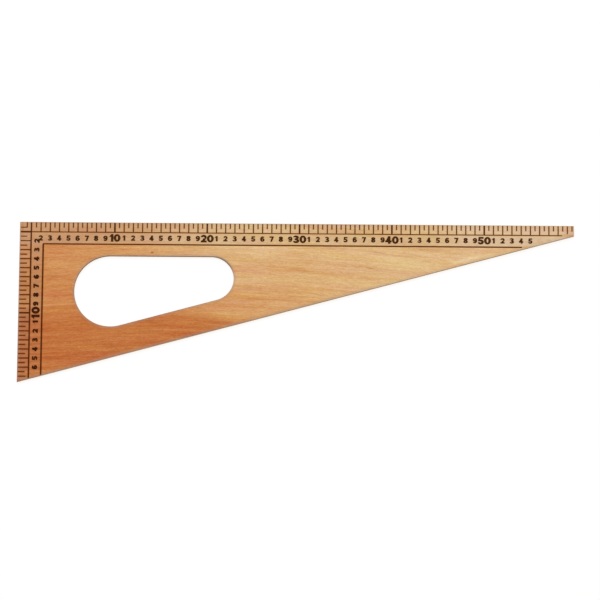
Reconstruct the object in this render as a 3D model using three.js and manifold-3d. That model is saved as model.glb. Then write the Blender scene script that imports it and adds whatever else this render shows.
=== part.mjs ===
import * as THREE from "three";
import { mergeVertices } from "three/addons/utils/BufferGeometryUtils.js";
import Module from "manifold-3d";

// A tailor's square: a thin plywood triangle with a long and a short measuring edge, a hand hole,
// and centimetre scales stamped into its face and filled with dark paint.
// Sizes are in millimetres. Plans are drawn from the right-angled corner: x runs along the long
// edge, y is negative towards the slanted edge, and z goes up from the underside.

// The board: its edges, the blunt tip, the three glued plies and the easing of the sharp arrises
const LONG_EDGE = 600;
const SHORT_EDGE = 177;
const BLUNT_TIP = 11.2;
const FACE_PLY = 1.2;
const CORE_PLY = 1.6;
const ARRIS = 0.4;

// The hand hole: the wood left above and below it, and where it starts and ends along the board
const TOP_RAIL = 37.1;
const SLANTED_RAIL = 31.6;
const HOLE_START = 59.9;
const HOLE_END = 232.1;

// The scales: where their zeros lie, and the line that closes each row of marks
const CENTIMETRE = 10;
const LONG_ZERO = 2.9;
const SHORT_ZERO = 1.1;
const LONG_LINE_AT = 11.1;
const SHORT_LINE_AT = 12.4;
const LONG_LINE_WIDTH = 1.0;
const SHORT_LINE_WIDTH = 1.55;

// The marks: how wide they are, how near the edge they begin and how deep they reach
const MARK_WIDTH = 1.15;
const TEN_MARK_WIDTH = 1.8;
const MARKS_PER_TEN = 10;
const LONG_EDGE_GAP = 0.6;
const SHORT_EDGE_GAP = 1.0;
const LONG_HALF_MARK = 6.3;
const SHORT_HALF_MARK = 8.2;
const FREE_MARK = 9.2;
const FREE_NEAR_END = 3;

// The border line round the plain field, and how far each line stops from the slanted edge
const BORDER_BELOW_LONG_EDGE = 24.4;
const BORDER_FROM_SHORT_EDGE = 25.6;
const BORDER_LONG_WIDTH = 1.4;
const BORDER_SHORT_WIDTH = 1.7;
const BORDER_CORNER = 1.1;
const LONG_LINE_STOP = 3.0;
const BORDER_STOP = 1.6;
const LINE_END_GAP = 0.6;

// The stamped grooves, and how far the paint in them stands proud of the face
const GROOVE_DEPTH = 0.2;
const PAINT_PROUD = 0.05;

// Fineness of the round parts, and how far a cutter reaches past what it cuts
const HOLE_ARC_STEPS = 22;
const CORNER_ARC_STEPS = 3;
const ARRIS_STEPS = 2;
const CUT_OVER = 1;

const THICKNESS = FACE_PLY + CORE_PLY + FACE_PLY;
const SLOPE = (SHORT_EDGE - BLUNT_TIP) / LONG_EDGE;
const SLANT = Math.hypot(1, SLOPE);
const QUARTER = Math.PI / 2;

const wasm = await Module();
wasm.setup();

// A closed three.js geometry as a solid that can be joined and cut.
function solidFrom(geometry) {
  const bare = geometry.clone();
  bare.deleteAttribute("normal");
  bare.deleteAttribute("uv");
  const merged = mergeVertices(bare);
  const vertProperties = new Float32Array(merged.attributes.position.array);
  const triVerts = new Uint32Array(merged.index.array);
  return new wasm.Manifold(new wasm.Mesh({ numProp: 3, vertProperties, triVerts }));
}

// A solid as a three.js geometry with flat faces.
function geometryFrom(solid) {
  const mesh = solid.getMesh();
  const geometry = new THREE.BufferGeometry();
  geometry.setAttribute("position", new THREE.BufferAttribute(mesh.vertProperties, 3));
  geometry.setIndex(new THREE.BufferAttribute(mesh.triVerts, 1));
  geometry.computeVertexNormals();
  return geometry;
}

// A plan raised into a plate between two heights.
function plate(shape, low, high) {
  const options = { depth: high - low, bevelEnabled: false, curveSegments: CORNER_ARC_STEPS };
  return new THREE.ExtrudeGeometry(shape, options).translate(0, 0, low);
}

// The height y of the slanted edge at x, moved into the board by an inset square to the edge.
function slantY(x, inset) {
  return SLOPE * x - SHORT_EDGE + inset * SLANT;
}

// The x at which the slanted edge, moved in by an inset, has come up to a depth below the long edge.
function slantX(depth, inset) {
  return (SHORT_EDGE - inset * SLANT - depth) / SLOPE;
}

// One round end of the hand hole: it touches the top side and the slanted lower side.
// side is 1 for the end at HOLE_START and -1 for the end at HOLE_END.
function holeEnd(reach, side) {
  const heightThere = SHORT_EDGE - SLANTED_RAIL * SLANT - TOP_RAIL - SLOPE * reach;
  const radius = heightThere / (1 + SLANT + side * SLOPE);
  return { x: reach + side * radius, y: -TOP_RAIL - radius, radius };
}

// The hand hole runs clockwise: right end, slanted side, left end, and straight back along the top.
function handHole() {
  const left = holeEnd(HOLE_START, 1);
  const right = holeEnd(HOLE_END, -1);
  const slantedSide = Math.atan2(-1, SLOPE);
  const hole = new THREE.Path();
  hole.absarc(right.x, right.y, right.radius, QUARTER, slantedSide, true);
  hole.absarc(left.x, left.y, left.radius, slantedSide, QUARTER, true);
  hole.closePath();
  return hole;
}

function boardPlan() {
  const plan = new THREE.Shape();
  plan.moveTo(0, 0);
  plan.lineTo(0, -SHORT_EDGE);
  plan.lineTo(LONG_EDGE, -BLUNT_TIP);
  plan.lineTo(LONG_EDGE, 0);
  plan.closePath();
  plan.holes.push(handHole());
  return plan;
}

// The glued board, sawn to shape, with every arris eased to a small round.
function boardBlank() {
  const options = {
    depth: THICKNESS - 2 * ARRIS,
    bevelThickness: ARRIS,
    bevelSize: ARRIS,
    bevelOffset: -ARRIS,
    bevelSegments: ARRIS_STEPS,
    curveSegments: HOLE_ARC_STEPS,
  };
  return solidFrom(new THREE.ExtrudeGeometry(boardPlan(), options).translate(0, 0, ARRIS));
}

// One ply is the slice of the blank between two glue lines.
function ply(blank, low, high) {
  const slice = new THREE.BoxGeometry(LONG_EDGE + 2 * CUT_OVER, SHORT_EDGE + 2 * CUT_OVER, high - low);
  slice.translate(LONG_EDGE / 2, -SHORT_EDGE / 2, (low + high) / 2);
  return blank.intersect(solidFrom(slice));
}

// Plan points from a distance along a measuring edge and a depth in from it.
function alongLongEdge(along, depth) {
  return new THREE.Vector2(along, -depth);
}

function alongShortEdge(along, depth) {
  return new THREE.Vector2(depth, -along);
}

const longScale = {
  at: alongLongEdge,
  zero: LONG_ZERO,
  edgeGap: LONG_EDGE_GAP,
  line: LONG_LINE_AT,
  lineWidth: LONG_LINE_WIDTH,
  lineStart: SHORT_LINE_AT + SHORT_LINE_WIDTH / 2,
  lineEnd: slantX(LONG_LINE_AT + LONG_LINE_WIDTH / 2, LONG_LINE_STOP),
  lineEndSlope: 0,
  halfMark: LONG_HALF_MARK,
};

// The short scale's line is carried up past the long scale's line, nearly to the long edge.
const shortScale = {
  at: alongShortEdge,
  zero: SHORT_ZERO,
  edgeGap: SHORT_EDGE_GAP,
  line: SHORT_LINE_AT,
  lineWidth: SHORT_LINE_WIDTH,
  lineStart: LONG_EDGE_GAP,
  lineEnd: -slantY(SHORT_LINE_AT + SHORT_LINE_WIDTH / 2, LINE_END_GAP),
  lineEndSlope: SLOPE,
  halfMark: SHORT_HALF_MARK,
};

// Whether a plan point keeps clear of the slanted edge and the blunt tip.
function onFace(point) {
  return point.y > slantY(point.x, LINE_END_GAP) && point.x < LONG_EDGE - LINE_END_GAP;
}

function markOutline(scale, place, width, reach) {
  return [
    scale.at(place - width / 2, scale.edgeGap),
    scale.at(place + width / 2, scale.edgeGap),
    scale.at(place + width / 2, reach),
    scale.at(place - width / 2, reach),
  ];
}

function centimetreWidth(number) {
  return number % MARKS_PER_TEN === 0 ? TEN_MARK_WIDTH : MARK_WIDTH;
}

// The centimetre marks from 2 on that join the line. The first is the other scale's line.
function joinedMarks(scale) {
  const marks = [];
  let number = 2;
  while (scale.zero + number * CENTIMETRE < scale.lineEnd - FREE_NEAR_END) {
    marks.push({ place: scale.zero + number * CENTIMETRE, width: centimetreWidth(number) });
    number += 1;
  }
  return marks;
}

// A scale's line with its joined marks as the teeth of a comb, drawn as one closed outline.
function combShape(scale, marks) {
  const outer = scale.line - scale.lineWidth / 2;
  const inner = scale.line + scale.lineWidth / 2;
  const outerEnd = scale.lineEnd + scale.lineEndSlope * scale.lineWidth;
  const points = [
    scale.at(scale.lineStart, inner),
    scale.at(scale.lineEnd, inner),
    scale.at(outerEnd, outer),
  ];
  for (const { place, width } of marks.toReversed()) {
    points.push(scale.at(place + width / 2, outer));
    points.push(scale.at(place + width / 2, scale.edgeGap));
    points.push(scale.at(place - width / 2, scale.edgeGap));
    points.push(scale.at(place - width / 2, outer));
  }
  points.push(scale.at(scale.lineStart, outer));
  return new THREE.Shape(points);
}

function longComb() {
  return combShape(longScale, joinedMarks(longScale));
}

// The short scale's first centimetre mark is the long scale's line, carried on to the short edge.
function shortComb() {
  const first = { place: LONG_LINE_AT, width: TEN_MARK_WIDTH };
  return combShape(shortScale, [first, ...joinedMarks(shortScale)]);
}

// The marks that stand free: every half centimetre, and the last centimetres past the line.
function freeMarks(scale) {
  const shapes = [];
  const lastJoined = joinedMarks(scale).length + 1;
  let half = 1;
  for (;;) {
    const number = half / 2;
    const isHalf = half % 2 === 1;
    const reach = isHalf ? scale.halfMark : FREE_MARK;
    const place = scale.zero + number * CENTIMETRE;
    const outline = markOutline(scale, place, MARK_WIDTH, reach);
    if (!outline.every(onFace)) break;
    if (isHalf || number > lastJoined) shapes.push(new THREE.Shape(outline));
    half += 1;
  }
  return shapes;
}

// The L-shaped border line, with its outer corner rounded.
function borderShape() {
  const left = BORDER_FROM_SHORT_EDGE - BORDER_SHORT_WIDTH / 2;
  const right = left + BORDER_SHORT_WIDTH;
  const top = -BORDER_BELOW_LONG_EDGE + BORDER_LONG_WIDTH / 2;
  const bottom = top - BORDER_LONG_WIDTH;
  const end = slantX(-bottom, BORDER_STOP);
  const shape = new THREE.Shape();
  shape.moveTo(left, slantY(left, LINE_END_GAP));
  shape.lineTo(right, slantY(right, LINE_END_GAP));
  shape.lineTo(right, bottom);
  shape.lineTo(end, bottom);
  shape.lineTo(end, top);
  shape.absarc(left + BORDER_CORNER, top - BORDER_CORNER, BORDER_CORNER, QUARTER, Math.PI, false);
  shape.closePath();
  return shape;
}

// The face ply with every line and mark of the graduation stamped into it.
function stampedFace(face) {
  const floor = THICKNESS - GROOVE_DEPTH;
  const shapes = [longComb(), shortComb(), borderShape(), ...freeMarks(longScale), ...freeMarks(shortScale)];
  let stamp = null;
  for (const shape of shapes) {
    const tool = solidFrom(plate(shape, floor, THICKNESS + CUT_OVER));
    stamp = stamp ? stamp.add(tool) : tool;
  }
  return face.subtract(stamp);
}

// The paint that fills one groove, down to its floor, and stands a little proud.
function paintIn(shape) {
  return plate(shape, THICKNESS - GROOVE_DEPTH, THICKNESS + PAINT_PROUD);
}

function piece(name, geometry, material) {
  const mesh = new THREE.Mesh(geometry, new THREE.MeshStandardMaterial(material));
  mesh.name = name;
  return mesh;
}

const FACE_WOOD = { color: 0xd2a06c, roughness: 0.55, metalness: 0 };
const CORE_WOOD = { color: 0xc49a70, roughness: 0.75, metalness: 0 };
const PAINT = { color: 0x2e160b, roughness: 0.6, metalness: 0 };

const blank = boardBlank();
const face = ply(blank, THICKNESS - FACE_PLY, THICKNESS + CUT_OVER);
const core = ply(blank, FACE_PLY, THICKNESS - FACE_PLY);
const back = ply(blank, -CUT_OVER, FACE_PLY);

// The board is shifted so that the origin lies under the middle of its box, on the underside.
const board = new THREE.Group();
board.position.set(-LONG_EDGE / 2, SHORT_EDGE / 2, 0);
board.add(piece("front_veneer", geometryFrom(stampedFace(face)), FACE_WOOD));
board.add(piece("core_ply", geometryFrom(core), CORE_WOOD));
board.add(piece("back_veneer", geometryFrom(back), FACE_WOOD));
board.add(piece("long_scale_paint", paintIn(longComb()), PAINT));
board.add(piece("short_scale_paint", paintIn(shortComb()), PAINT));
board.add(piece("border_paint", paintIn(borderShape()), PAINT));

const square = new THREE.Group();
square.add(board);

export default square;
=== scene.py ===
# %% [markdown]
# # A wooden tailor's square
#
# A tailor draws straight edges and right angles on cloth and pattern paper with this thin plywood
# triangle. Its body, its stamped lines and its hand hole come ready made as a fixed model at real
# size. This lesson gives them light, a camera and a finish, and adds what is left: the paint of the
# half-centimetre marks and the numerals.

# %% The fixed model
import math

import bpy
from mathutils import Matrix, Vector


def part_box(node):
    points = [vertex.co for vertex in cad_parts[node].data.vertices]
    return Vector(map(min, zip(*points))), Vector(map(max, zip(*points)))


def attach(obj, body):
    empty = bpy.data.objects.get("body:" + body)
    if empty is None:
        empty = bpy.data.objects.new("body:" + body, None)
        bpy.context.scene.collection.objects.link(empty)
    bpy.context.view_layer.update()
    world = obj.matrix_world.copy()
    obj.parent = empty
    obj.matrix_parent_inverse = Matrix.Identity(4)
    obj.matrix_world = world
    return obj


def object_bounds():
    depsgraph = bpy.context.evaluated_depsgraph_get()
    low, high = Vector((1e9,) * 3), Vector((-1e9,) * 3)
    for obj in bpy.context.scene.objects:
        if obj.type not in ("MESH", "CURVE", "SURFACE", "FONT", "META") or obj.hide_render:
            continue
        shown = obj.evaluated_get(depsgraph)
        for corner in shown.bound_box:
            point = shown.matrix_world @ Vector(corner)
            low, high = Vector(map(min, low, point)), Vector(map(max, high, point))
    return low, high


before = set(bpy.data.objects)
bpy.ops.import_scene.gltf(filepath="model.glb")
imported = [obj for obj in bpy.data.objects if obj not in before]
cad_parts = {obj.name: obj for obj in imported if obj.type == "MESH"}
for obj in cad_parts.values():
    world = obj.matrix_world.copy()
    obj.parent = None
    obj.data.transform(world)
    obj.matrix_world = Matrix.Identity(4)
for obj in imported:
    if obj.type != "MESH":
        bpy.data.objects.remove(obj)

cad_low, cad_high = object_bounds()
print("The square measures, in millimetres:", [round(1000 * size, 2) for size in cad_high - cad_low])

# %% [markdown]
# ## Measuring from the right-angled corner
#
# On the real square every size is read from the corner where the two scales begin. So a place is
# told here as a distance along the long edge and a depth below it, in millimetres, and one helper
# turns it into Blender's metres.

# %% Places on the board
MM = 0.001
LONG_EDGE = (cad_high.x - cad_low.x) / MM
SHORT_EDGE = (cad_high.y - cad_low.y) / MM

face_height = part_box("front_veneer")[1].z


def on_board(along, depth, height):
    """A place on the board: millimetres from the corner, and a height in metres."""
    return Vector((cad_low.x + along * MM, cad_high.y - depth * MM, height))


print("The corner lies at", [round(value, 4) for value in on_board(0, 0, face_height)])

# %% [markdown]
# ## The camera
#
# The square was photographed from nearly straight above with a long lens: its marks stay evenly
# spaced, and only a sliver of the edges that face the viewer can be seen. A camera is easiest to
# check when it is given as a photographer would say it: what it looks at, from how far, how much it
# leans, and which way it is turned. These numbers were fitted to the marks of the two scales.

# %% Camera
LOOK_AT = (303.98, 84.68)
CAMERA_DISTANCE = 5.239
LEAN = math.radians(12.900)
TURN = math.radians(0.633)
ROLL = math.radians(-0.181)
LENS = 291.19
SIGHT = 100

aim = Matrix.Rotation(TURN, 4, "Z") @ Matrix.Rotation(LEAN, 4, "X") @ Matrix.Rotation(ROLL, 4, "Z")
backwards = aim @ Vector((0, 0, 1))
camera_place = on_board(*LOOK_AT, face_height) + CAMERA_DISTANCE * backwards
bpy.ops.object.camera_add(location=camera_place, rotation=aim.to_euler())
camera = bpy.context.object
camera.name = "camera"
camera.data.lens = LENS
camera.data.clip_end = SIGHT
bpy.context.scene.camera = camera
print("The camera stands at", [round(value, 3) for value in camera.location])

# %% [markdown]
# ## Arithmetic for materials
#
# Blender's materials are graphs of small nodes. Wood needs many of them, and wired one by one they
# can't be read. So one small class wraps a node's output and understands plus, minus, times and
# divide, and one method adds any other node. After that a material reads like a formula.

# %% Quantity
def on_two(operation):
    """A method that adds the Math node of an operation on two values."""
    return lambda first, second: first.maths(operation, first, second)


class Quantity:
    """Something that varies over a surface, such as a distance, a mask or a colour."""

    def __init__(self, nodes, socket):
        self.nodes = nodes
        self.socket = socket

    def output(self, name):
        """Another output of the same node."""
        return Quantity(self.nodes, self.socket.node.outputs[name])

    def maths(self, operation, *values):
        return self.nodes.node("ShaderNodeMath", {"operation": operation}, dict(enumerate(values)))

    __add__ = __radd__ = on_two("ADD")
    __sub__ = on_two("SUBTRACT")
    __mul__ = __rmul__ = on_two("MULTIPLY")
    __truediv__ = on_two("DIVIDE")
    least = on_two("MINIMUM")
    greatest = on_two("MAXIMUM")

    def __rsub__(self, other):
        return self.maths("SUBTRACT", other, self)

    def __abs__(self):
        return self.maths("ABSOLUTE", self)

    def root(self):
        return self.maths("SQRT", self)

    def rise(self, low, high):
        """0 up to low, 1 from high on, and a smooth rise between."""
        settings = {"interpolation_type": "SMOOTHSTEP"}
        values = {"Value": self, "From Min": low, "From Max": high}
        return self.nodes.node("ShaderNodeMapRange", settings, values)


# %% Nodes
# A Mix node's factor and its two colours.
MIX_SOCKETS = (0, 6, 7)


class Nodes:
    """Adds nodes to one tree, of a material or of the world."""

    def __init__(self, tree):
        self.tree = tree

    def node(self, kind, settings=None, values=None):
        """Adds a node, makes its settings, fills its sockets, and gives its first output."""
        added = self.tree.nodes.new(kind)
        for setting, value in (settings or {}).items():
            if setting == "stops":
                self.set_stops(added.color_ramp, value)
            elif setting == "interpolation":
                added.color_ramp.interpolation = value
            else:
                setattr(added, setting, value)
        for socket, value in (values or {}).items():
            self.fill(added.inputs[socket], value)
        first = next(output for output in added.outputs if output.enabled)
        return Quantity(self, first)

    def set_stops(self, ramp, stops):
        """Gives a ramp its stops: places from 0 to 1, each with a grey or a colour."""
        while len(ramp.elements) > 1:
            ramp.elements.remove(ramp.elements[-1])
        for number, (place, shade) in enumerate(stops):
            element = ramp.elements[0] if number == 0 else ramp.elements.new(place)
            element.position = place
            element.color = (*shade, 1) if isinstance(shade, tuple) else (shade, shade, shade, 1)

    def fill(self, socket, value):
        """Links a quantity to a socket, or sets the socket to a number or a colour."""
        if isinstance(value, Quantity):
            self.tree.links.new(value.socket, socket)
        elif isinstance(value, tuple) and socket.type == "RGBA":
            socket.default_value = (*value, 1)
        else:
            socket.default_value = value

    def ramp(self, place, stops, interpolation="LINEAR"):
        settings = {"interpolation": interpolation, "stops": stops}
        return self.node("ShaderNodeValToRGB", settings, {"Fac": place})

    def blend(self, factor, first, second, mode="MIX"):
        """From first to second, or to their product, as factor goes from 0 to 1."""
        values = dict(zip(MIX_SOCKETS, (factor, first, second)))
        return self.node("ShaderNodeMix", {"data_type": "RGBA", "blend_type": mode}, values)


# %% Finish
class Finish(Nodes):
    """A material with a Principled shader."""

    def __init__(self, name, specular_level):
        self.material = bpy.data.materials.new(name)
        self.material.use_nodes = True
        super().__init__(self.material.node_tree)
        self.shader = self.tree.nodes["Principled BSDF"]
        self.shader.inputs["Specular IOR Level"].default_value = specular_level

    def set(self, **values):
        """Fills sockets of the Principled shader: Base_Color stands for Base Color."""
        for name, value in values.items():
            self.fill(self.shader.inputs[name.replace("_", " ")], value)

    def set_bump(self, height, strength, distance):
        """Makes the surface look uneven. distance is in millimetres."""
        values = {"Strength": strength, "Distance": distance * MM, "Height": height}
        self.set(Normal=self.node("ShaderNodeBump", None, values))


# %% Tones
def tone(*red_green_blue):
    """A colour as a paint program shows it, from 0 to 255, as the light that Blender counts in."""
    def light(share):
        return share / 12.92 if share <= 0.04045 else ((share + 0.055) / 1.055) ** 2.4
    return tuple(light(value / 255) for value in red_green_blue)


print("A tone that looks half bright holds", round(tone(128, 128, 128)[0], 3), "of the light")

# %% [markdown]
# ## Floor and light
#
# The square lies on a white sheet under soft, even light, with the stronger part coming from behind,
# so the thin edges that face the viewer are the darkest parts. For the camera the sheet also glows,
# which lifts it to white and leaves only a faint shadow. The glow is the warmer part of what is seen,
# so the shadow looks warm, as it does beside amber wood. Further off the sheet glows fully, so that no
# horizon shows. The world does the same: it is white to look at, and a soft grey as a lamp.

# %% Floor
FLOOR_SIZE = 60
FLOOR_GAP = 0.0001
FLOOR_PALE = (0.8, 0.8, 0.8)
FLOOR_SEEN = (0.11, 0.15, 0.20)
FLOOR_GLOW = (0.91, 0.87, 0.82)
GLOWS_FULLY = (0.5, 2.0)
WHITE = (1.0, 1.0, 1.0)
BLACK = (0.0, 0.0, 0.0)


def clear_selection():
    bpy.ops.object.select_all(action="DESELECT")


def seen_directly(nodes):
    """1 for what the camera sees, straight on or by way of gloss or glass."""
    path = nodes.node("ShaderNodeLightPath")
    by_gloss = path.output("Is Glossy Ray").greatest(path.output("Is Transmission Ray"))
    return path.output("Is Camera Ray").greatest(by_gloss)


clear_selection()
bpy.ops.mesh.primitive_plane_add(size=FLOOR_SIZE, location=(0, 0, -FLOOR_GAP))
floor = bpy.context.object
floor.name = "white_sheet"
sheet = Finish("white_sheet", 0)
seen = seen_directly(sheet)
place = sheet.node("ShaderNodeTexCoord").output("Object")
far = sheet.node("ShaderNodeVectorMath", {"operation": "LENGTH"}, {0: place}).rise(*GLOWS_FULLY)
sheet.set(Base_Color=sheet.blend(seen, FLOOR_PALE, sheet.blend(far, FLOOR_SEEN, BLACK)), Roughness=1.0)
sheet.set(Emission_Color=sheet.blend(far, FLOOR_GLOW, WHITE), Emission_Strength=seen)
floor.data.materials.append(sheet.material)
print("The sheet is", FLOOR_SIZE, "m wide")

# %% World and lamp
WORLD_FILL = 0.48
LAMP_PLACE = (-0.7, 1.7, 2.9)
LAMP_SIZE = 2.2
LAMP_POWER = 78

world = bpy.data.worlds.new("studio")
world.use_nodes = True
bpy.context.scene.world = world
studio = Nodes(world.node_tree)
sky = world.node_tree.nodes["Background"]
studio.fill(sky.inputs["Color"], WHITE)
studio.fill(sky.inputs["Strength"], WORLD_FILL + (1 - WORLD_FILL) * seen_directly(studio))

towards_board = Vector(LAMP_PLACE).to_track_quat("Z", "Y").to_euler()
bpy.ops.object.light_add(type="AREA", location=LAMP_PLACE, rotation=towards_board)
lamp = bpy.context.object
lamp.name = "soft_lamp"
lamp.data.size = LAMP_SIZE
lamp.data.energy = LAMP_POWER
bpy.context.scene.view_settings.view_transform = "Standard"
print("The lamp is", round(Vector(LAMP_PLACE).length, 2), "m away")

# %% [markdown]
# ## Where a point of the surface lies
#
# Every pattern on the wood is tied to the board: the grain runs along the long edge, the printed
# band follows the scales, and the edges are greyer. So each material first works out the same
# three distances as on_board, from Object coordinates, which stay with the piece as it moves. The
# fibres of the wood are cloudy noise, drawn out along the grain. Such a pattern is told by a length
# and a width in millimetres, and by a seed of its own, so that no two lie alike.

# %% Distances and fibres
NOISE_ROUGHNESS = 0.55
NOISE_MIDDLE = 0.5


def distances(finish):
    """How far along the long edge, how deep below it and how high a point is."""
    point = finish.node("ShaderNodeTexCoord").output("Object")
    parts = finish.node("ShaderNodeSeparateXYZ", None, {"Vector": point})
    along = (parts.output("X") - cad_low.x) / MM
    depth = (cad_high.y - parts.output("Y")) / MM
    return along, depth, parts.output("Z") / MM


def drawn_out(along, depth, length, width, own_seed, seed):
    """Where a texture is read, so that its clouds or cells have this length and width."""
    values = {"X": along / length, "Y": depth / width, "Z": own_seed + seed}
    return along.nodes.node("ShaderNodeCombineXYZ", None, values)


def fibres(along, depth, length, width, own_seed, seed=0, detail=2.0):
    """Cloudy variation about zero, drawn out along the grain."""
    place = drawn_out(along, depth, length, width, own_seed, seed)
    noise = {"Vector": place, "Scale": 1.0, "Detail": detail, "Roughness": NOISE_ROUGHNESS}
    return along.nodes.node("ShaderNodeTexNoise", None, noise) - NOISE_MIDDLE


print("Along goes to", round(LONG_EDGE, 1), "mm, and depth to", round(SHORT_EDGE, 1), "mm")

# %% [markdown]
# ## The colour of old beech
#
# The face goes from pale straw at the tip to a deep orange brown in the lower left. Wood is coloured
# by what it swallows of the light, so it has two numbers here. Its amber swallows a little red, more
# green and most of the blue, and varies in broad bands. Its brown swallows more evenly, and varies
# in fine streaks and dark lines. A ramp turns each into a colour, and the two are multiplied.

# %% Amber and brown
STRAW = tone(240, 214, 165)
AMBER_SWALLOWS = (0.37, 1.19, 2.05)
BROWN_SWALLOWS = (0.50, 1.00, 1.50)
BROWN_AVERAGE = 0.30
MOST_AMBER = 2.0
MOST_BROWN = 1.5
RAMP_STOPS = 6


def what_is_left(amount, swallows):
    """The share of the red, green and blue light that comes back."""
    return tuple(math.exp(-amount * share) for share in swallows)


def swallowed_light(amount, swallows, most):
    """A ramp from an amount to the light that comes back."""
    shares = [number / (RAMP_STOPS - 1) for number in range(RAMP_STOPS)]
    stops = [(share, what_is_left(share * most, swallows)) for share in shares]
    return amount.nodes.ramp(amount / most, stops)


def wood_colour(finish, amber, brown):
    """amber counts from zero, while brown varies about zero and gets its average here."""
    by_amber = swallowed_light(amber, AMBER_SWALLOWS, MOST_AMBER)
    by_brown = swallowed_light(brown + BROWN_AVERAGE, BROWN_SWALLOWS, MOST_BROWN)
    colour = finish.blend(1.0, by_amber, by_brown, "MULTIPLY")
    return finish.blend(1.0, colour, STRAW, "MULTIPLY")


print("Deep amber leaves", [round(share, 2) for share in what_is_left(1, AMBER_SWALLOWS)], "of the light")

# %% [markdown]
# ## Growth bands
#
# The veneer was peeled or sliced, so the tree's growth shows as bands that run along the board, here
# pale, there amber. They are told by their depth below the long edge, and drift down a little
# towards the tip. The heartwood's deep amber fills the lower left, and a weaker stain lies over the
# upper left. A few soft patches are deeper or paler than their band.

# %% Bands of the front veneer
# Each band is a depth and its amber.
FRONT_BANDS = [
    (0, 0.06), (24, 0.10), (34, 0.13), (43, 0.21), (51, 0.26), (60, 0.15), (72, 0.30), (86, 0.33),
    (95, 0.70), (103, 0.88), (111, 1.04), (118, 1.02), (127, 0.94), (138, 1.05), (149, 1.14), (160, 0.90),
]
# Where a fall starts, how steep it is, and the depths between which it sets in.
BAND_FALLS = [(240, 0.055, 0, 1), (140, 0.155, 80, 100)]
BAND_WAVE = (90, 26, 0)
BAND_WOBBLE = 5


def profile(depth, stops):
    """A value that changes with the depth: each stop is a depth and its value."""
    shares = [(at / SHORT_EDGE, value) for at, value in stops]
    return depth.nodes.ramp(depth / SHORT_EDGE, shares, "EASE")


def growth_bands(along, depth, bands, seed):
    """The amber of the bands, which fall towards the tip, the deep ones more."""
    fallen = depth + fibres(along, depth, *BAND_WAVE, seed) * BAND_WOBBLE
    for start, fall, shallow, deep in BAND_FALLS:
        fallen = fallen - (along - start).greatest(0) * depth.rise(shallow, deep) * fall
    return profile(fallen, bands)


print("The front veneer has", len(FRONT_BANDS), "bands")

# %% Stain and patches
STAIN = 0.56
STAIN_FADES = (22, 232)
STAIN_SLANT = 0.3
TIP_PALES = (300, 420)
TIP_PALES_BELOW = (27, 36)
TIP_SHARE = 0.65
# Middle, half the length and half the width in millimetres, and amber.
AMBER_PATCHES = [
    (352, 2, 75, 12, 0.13), (597, 6, 13, 12, 0.16), (6, 92, 30, 16, -0.12), (54, 47, 36, 9, -0.16),
    (252, 51, 24, 5, -0.10), (268, 30, 28, 5, -0.05), (484, 39, 24, 5, -0.16), (423, 43, 28, 4.5, -0.12),
    (220, 92, 50, 7, 0.12), (48, 100, 36, 12, -0.14), (112, 125, 60, 10, -0.17), (36, 162, 14, 9, -0.10),
    (222, 104, 28, 3.5, -0.12), (255, 88, 24, 4, 0.08), (330, 79, 36, 6, -0.10),
]


def lens(along, depth, middle_along, middle_depth, half_length, half_width, fall=0.0):
    """A soft lens: 1 on its middle, 0 outside, tapering to both ends."""
    past = along - middle_along
    across = (depth - middle_depth - past * fall) / half_width
    beyond = past / half_length
    return (1 - across * across - beyond * beyond).greatest(0)


def front_shading(bands, along, depth):
    """Lays the stain over the bands at the left, pales them towards the tip, and adds the patches."""
    stain = STAIN * (1 - (along - depth * STAIN_SLANT).rise(*STAIN_FADES))
    tip = along.rise(*TIP_PALES) * depth.rise(*TIP_PALES_BELOW) * TIP_SHARE
    patches = sum(lens(along, depth, *place) * amber for *place, amber in AMBER_PATCHES)
    return stain + bands * (1 - stain) * (1 - tip) + patches


print(len(AMBER_PATCHES), "soft patches lie over the bands")

# %% [markdown]
# ## Streaks
#
# Over the bands lie streaks of fibre, from long soft ones down to hairs. Each layer is cloudy noise
# of another length and width. The grain itself bows: it rises a little at the left and falls towards
# the tip, so the streaks are drawn on a depth that bows in the same way. Deep amber wood shows its
# streaks more strongly than pale wood does.

# %% Layers of streaks
# Length and width in millimetres, how strong, and how much finer detail rides on each.
BROAD_STREAKS = [(110, 4.2, 0.28, 3.0), (60, 3.6, 0.25, 2.0)]
FINE_STREAKS = [(32, 1.3, 0.44, 2.5), (6, 1.0, 0.60, 2.0), (2.5, 0.5, 0.58, 1.0)]
STREAK_SEED_STEP = 2.3
BOW_MIDDLE = 160
BOW_REACH = 120
BOW_HEIGHT = 10


def grain_depth(along, depth):
    """A depth that bows as the grain does, so that it stays the same along a grain line."""
    past = (along - BOW_MIDDLE) / BOW_REACH
    return depth - (past * past + 1).root() * BOW_HEIGHT


def streaks(along, depth, layers, seed):
    total = 0
    for number, (length, width, strength, detail) in enumerate(layers):
        layer_seed = seed + (number + 1) * STREAK_SEED_STEP
        total = total + fibres(along, depth, length, width, layer_seed, detail=detail) * strength
    return total


drop = BOW_HEIGHT * (math.hypot(1, (LONG_EDGE - BOW_MIDDLE) / BOW_REACH) - 1)
print("From the middle of the bow to the tip the grain falls by", round(drop, 1), "mm")

# %% [markdown]
# ## Dark lines and pale streaks
#
# Over the streaks lie the few lines that the eye picks out: thin dark growth lines that taper at
# both ends, reddish streaks near the slanted edge, pale streaks and one pin knot. Noise can't put
# those in their places, so each is a soft lens with a centre, a length, a width and a lean. The
# fibres' own wobble makes it wavy and tears its edges. Pale streaks swallow less than the wood round
# them, so their brown is negative.

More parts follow.
